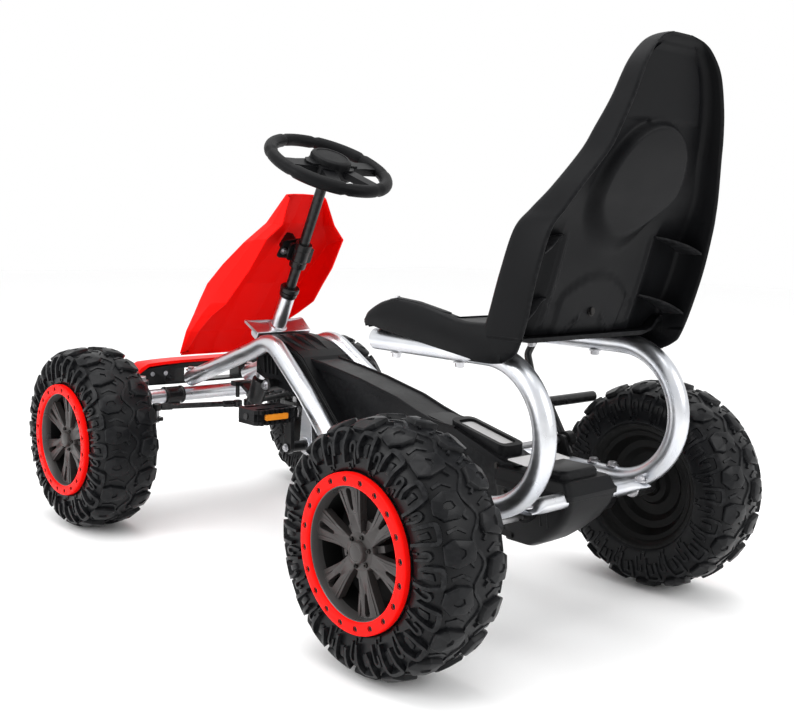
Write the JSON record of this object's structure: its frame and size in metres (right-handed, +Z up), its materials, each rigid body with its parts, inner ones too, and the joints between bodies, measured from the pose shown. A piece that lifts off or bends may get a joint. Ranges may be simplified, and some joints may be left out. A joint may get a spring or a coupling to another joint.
{
  "type": "pedal go kart",
  "caption": "Child's pedal go kart with chunky foam tyres, bent-tube frame, bucket seat, steering wheel, chain drive cover, pedals and hand brake.",
  "frame": {"origin": "floor level under the centre of the kart's bounding box", "axes": "+Z up, kart faces -Y, driver's left is +X"},
  "size_m": [0.6406, 1.102, 0.733],
  "materials": {
    "galvanised_tube": "bright zinc-plated tube, satin",
    "tyre_black": "black foam tyre, dull sheen",
    "red_plastic": "bright red moulded plastic",
    "rim_grey": "dark grey satin plastic",
    "cap_dark": "dark grey satin plastic",
    "black_steel": "black powder coat",
    "plain_steel": "plain zinc-plated steel",
    "black_plastic": "black grained plastic"
  },
  "bodies": {
    "frame": {"left_frame_tube": "galvanised_tube", "right_frame_tube": "galvanised_tube", "rear_crossmember": "galvanised_tube", "front_beam": "galvanised_tube", "kingpin_sleeve_left": "galvanised_tube", "kingpin_sleeve_right": "galvanised_tube", "head_tube": "galvanised_tube", "head_plate": "galvanised_tube", "beam_sleeve_left": "black_steel", "beam_sleeve_right": "black_steel", "column_collar": "black_plastic", "fairing_bracket": "black_steel", "fairing": "red_plastic", "front_wing": "red_plastic", "wing_bracket": "black_steel", "seat_shell": "black_plastic", "chain_cover": "black_plastic", "rear_cover": "black_plastic", "chain": "plain_steel", "crank_hanger_left": "black_steel", "crank_hanger_right": "black_steel", "axle_bearing_left": "plain_steel", "axle_bearing_right": "plain_steel", "brake_bracket": "plain_steel", "brake_pivot_rod": "plain_steel"},
    "steering": {"steering_column": "black_steel", "pitman_arm": "black_steel", "steering_wheel": "black_plastic", "steering_cap": "cap_dark"},
    "left_steering_knuckle": {"left_knuckle": "black_steel"},
    "right_steering_knuckle": {"right_knuckle": "black_steel"},
    "left_track_rod": {"left_tie_rod": "black_steel"},
    "right_track_rod": {"right_tie_rod": "black_steel"},
    "front_left_wheel": {"front_left_tyre": "tyre_black", "front_left_rim": "rim_grey", "front_left_ring": "red_plastic", "front_left_cap": "cap_dark"},
    "front_right_wheel": {"front_right_tyre": "tyre_black", "front_right_rim": "rim_grey", "front_right_ring": "red_plastic", "front_right_cap": "cap_dark"},
    "rear_wheels": {"rear_axle": "plain_steel", "rear_sprocket": "plain_steel", "rear_left_tyre": "tyre_black", "rear_left_rim": "rim_grey", "rear_left_ring": "red_plastic", "rear_left_cap": "cap_dark", "rear_right_tyre": "tyre_black", "rear_right_rim": "rim_grey", "rear_right_ring": "red_plastic", "rear_right_cap": "cap_dark"},
    "crank": {"crank_shaft": "black_steel", "chainring": "plain_steel"},
    "left_pedal_body": {"left_pedal": "black_plastic"},
    "right_pedal_body": {"right_pedal": "black_plastic"},
    "hand_brake": {"brake_lever": "black_steel", "brake_grip": "black_plastic"}
  },
  "joints": [
    {"name": "steering_turn", "type": "hinge", "parent": "frame", "child": "steering", "pos_m": [0, -0.277, 0.224], "axis": [0, 0.4431, 0.8965], "range_deg": [-30, 30]},
    {"name": "left_kingpin", "type": "hinge", "parent": "frame", "child": "left_steering_knuckle", "pos_m": [0.158, -0.401, 0.207], "axis": [0, 0, 1], "range_deg": [-28, 28]},
    {"name": "right_kingpin", "type": "hinge", "parent": "frame", "child": "right_steering_knuckle", "pos_m": [-0.158, -0.401, 0.207], "axis": [0, 0, 1], "range_deg": [-28, 28]},
    {"name": "left_rod_joint", "type": "hinge", "parent": "left_steering_knuckle", "child": "left_track_rod", "pos_m": [0.146, -0.366, 0.195], "axis": [0, 0, 1], "range_deg": [-31, 31]},
    {"name": "right_rod_joint", "type": "hinge", "parent": "right_steering_knuckle", "child": "right_track_rod", "pos_m": [-0.146, -0.366, 0.195], "axis": [0, 0, 1], "range_deg": [-31, 31]},
    {"name": "front_left_spin", "type": "hinge", "parent": "left_steering_knuckle", "child": "front_left_wheel", "pos_m": [0.2476, -0.401, 0.15], "axis": [1, 0, 0], "continuous": true},
    {"name": "front_right_spin", "type": "hinge", "parent": "right_steering_knuckle", "child": "front_right_wheel", "pos_m": [-0.2476, -0.401, 0.15], "axis": [1, 0, 0], "continuous": true},
    {"name": "rear_axle_spin", "type": "hinge", "parent": "frame", "child": "rear_wheels", "pos_m": [0, 0.367, 0.15], "axis": [1, 0, 0], "continuous": true},
    {"name": "crank_spin", "type": "hinge", "parent": "frame", "child": "crank", "pos_m": [0, -0.038, 0.176], "axis": [1, 0, 0], "continuous": true},
    {"name": "left_pedal_spin", "type": "hinge", "parent": "crank", "child": "left_pedal_body", "pos_m": [0.149, -0.038, 0.231], "axis": [1, 0, 0], "continuous": true},
    {"name": "right_pedal_spin", "type": "hinge", "parent": "crank", "child": "right_pedal_body", "pos_m": [-0.149, -0.038, 0.121], "axis": [1, 0, 0], "continuous": true},
    {"name": "brake_pull", "type": "hinge", "parent": "frame", "child": "hand_brake", "pos_m": [-0.151, 0.285, 0.214], "axis": [-1, 0, 0], "range_deg": [0, 16]}
  ],
  "couplings": [
    {"joint": "left_kingpin", "follows": "steering_turn", "ratio": 0.9},
    {"joint": "right_kingpin", "follows": "steering_turn", "ratio": 0.9},
    {"joint": "left_rod_joint", "follows": "steering_turn", "ratio": -0.98},
    {"joint": "right_rod_joint", "follows": "steering_turn", "ratio": -0.98},
    {"joint": "crank_spin", "follows": "rear_axle_spin", "ratio": 0.8125}
  ]
}
